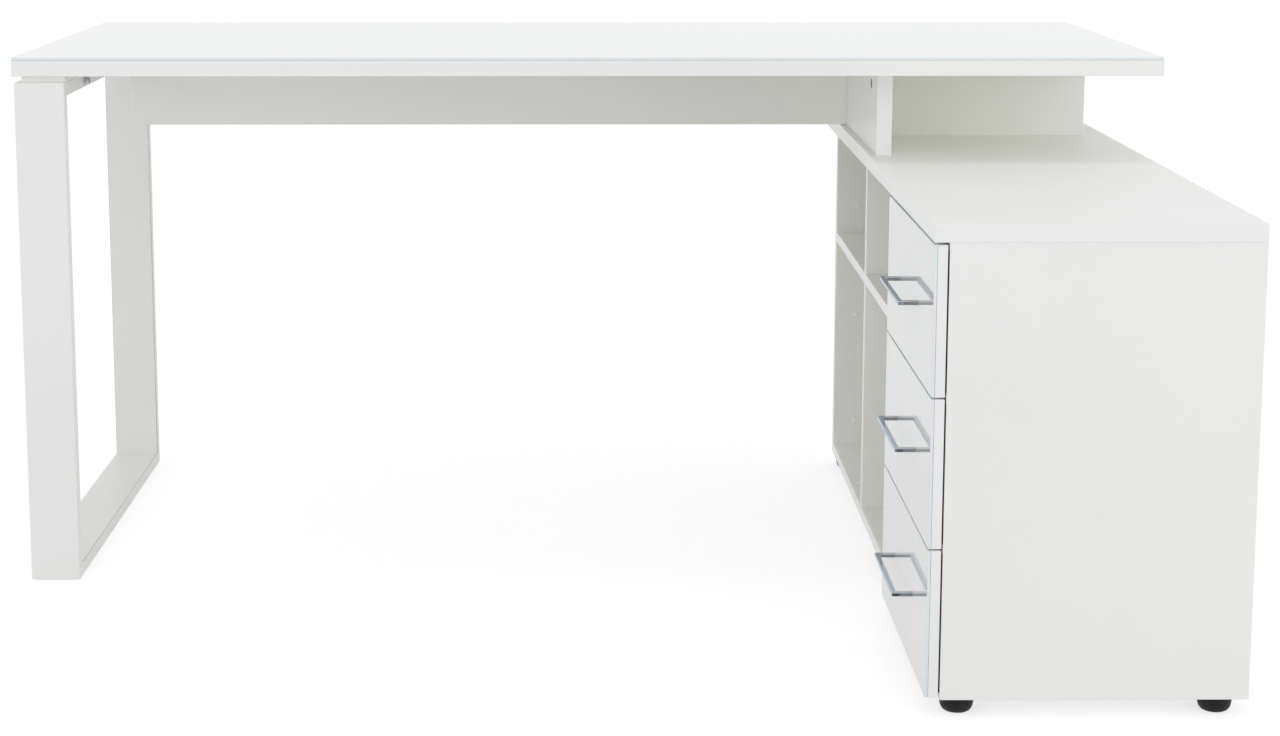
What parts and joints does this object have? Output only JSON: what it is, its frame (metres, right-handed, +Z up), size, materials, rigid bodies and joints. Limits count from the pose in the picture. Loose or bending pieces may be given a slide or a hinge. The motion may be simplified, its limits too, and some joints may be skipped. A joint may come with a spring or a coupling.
{
  "type": "corner desk",
  "caption": "White corner desk: glass-covered desktop on a steel loop frame and a long low cabinet with glass-fronted drawers, open shelf bays and bow handles.",
  "frame": {"origin": "on the floor at the centre of the whole footprint, desktop and cabinet together", "axes": "+X to the right along the desktop, from the loop frame to the cabinet; +Y from the front to the back of the desktop; +Z up"},
  "size_m": [1.6, 1.274, 0.75],
  "materials": {
    "safety_glass": "clear safety glass with polished edges, coloured white on its underside",
    "white_board": "chipboard with a white silk melamine face and matching edge bands",
    "drawer_board": "chipboard wrapped in white foil",
    "white_hardboard": "hardboard with one white painted face",
    "white_steel": "white satin powder coat over welded steel tube",
    "zinc_steel": "zinc-plated steel",
    "zinc_cast": "bare zinc die casting",
    "brass": "turned brass",
    "chrome": "polished chrome plate",
    "black_plastic": "moulded black plastic",
    "white_plastic": "moulded white plastic",
    "clear_plastic": "soft self-adhesive plastic",
    "beech": "bare beech"
  },
  "bodies": {
    "desk": {"glass_top": "safety_glass", "desktop_board": "white_board", "frame_front_post": "white_steel", "frame_rear_post": "white_steel", "frame_top_tube": "white_steel", "frame_bottom_tube": "white_steel", "frame_glides": "clear_plastic", "frame_spacer": "white_board", "frame_clamp_blocks": "zinc_steel", "frame_cross_bolts": "zinc_steel", "frame_cross_washers": "zinc_steel", "frame_desk_screws": "zinc_steel", "desktop_inserts": "brass", "side_support": "white_board", "rear_support": "white_board", "apron": "white_board", "cabinet_top": "white_board", "drawer_end_panel": "white_board", "shelf_end_panel": "white_board", "cabinet_floor": "white_board", "drawer_divider": "white_board", "shelf": "white_board", "lower_divider": "white_board", "upper_divider": "white_board", "cabinet_back": "white_hardboard", "cabinet_feet": "black_plastic", "foot_screws": "zinc_steel", "runner_channels": "zinc_steel", "runner_screws": "zinc_steel", "dowels": "beech", "cam_locks": "zinc_cast", "cam_bolts": "zinc_steel", "cover_caps": "white_plastic"},
    "lower_drawer": {"lower_drawer_glass_front": "safety_glass", "lower_drawer_front_board": "white_board", "lower_drawer_near_side": "drawer_board", "lower_drawer_far_side": "drawer_board", "lower_drawer_back": "drawer_board", "lower_drawer_bottom": "white_hardboard", "lower_drawer_handle": "chrome", "lower_drawer_handle_screws": "zinc_steel", "lower_drawer_runner_rails": "zinc_steel"},
    "middle_drawer": {"middle_drawer_glass_front": "safety_glass", "middle_drawer_front_board": "white_board", "middle_drawer_near_side": "drawer_board", "middle_drawer_far_side": "drawer_board", "middle_drawer_back": "drawer_board", "middle_drawer_bottom": "white_hardboard", "middle_drawer_handle": "chrome", "middle_drawer_handle_screws": "zinc_steel", "middle_drawer_runner_rails": "zinc_steel"},
    "upper_drawer": {"upper_drawer_glass_front": "safety_glass", "upper_drawer_front_board": "white_board", "upper_drawer_near_side": "drawer_board", "upper_drawer_far_side": "drawer_board", "upper_drawer_back": "drawer_board", "upper_drawer_bottom": "white_hardboard", "upper_drawer_handle": "chrome", "upper_drawer_handle_screws": "zinc_steel", "upper_drawer_runner_rails": "zinc_steel"}
  },
  "joints": [
    {"name": "lower_drawer_slide", "type": "slide", "parent": "desk", "child": "lower_drawer", "axis": [-1, 0, 0], "range_m": [0, 0.26]},
    {"name": "middle_drawer_slide", "type": "slide", "parent": "desk", "child": "middle_drawer", "axis": [-1, 0, 0], "range_m": [0, 0.26]},
    {"name": "upper_drawer_slide", "type": "slide", "parent": "desk", "child": "upper_drawer", "axis": [-1, 0, 0], "range_m": [0, 0.26]}
  ]
}
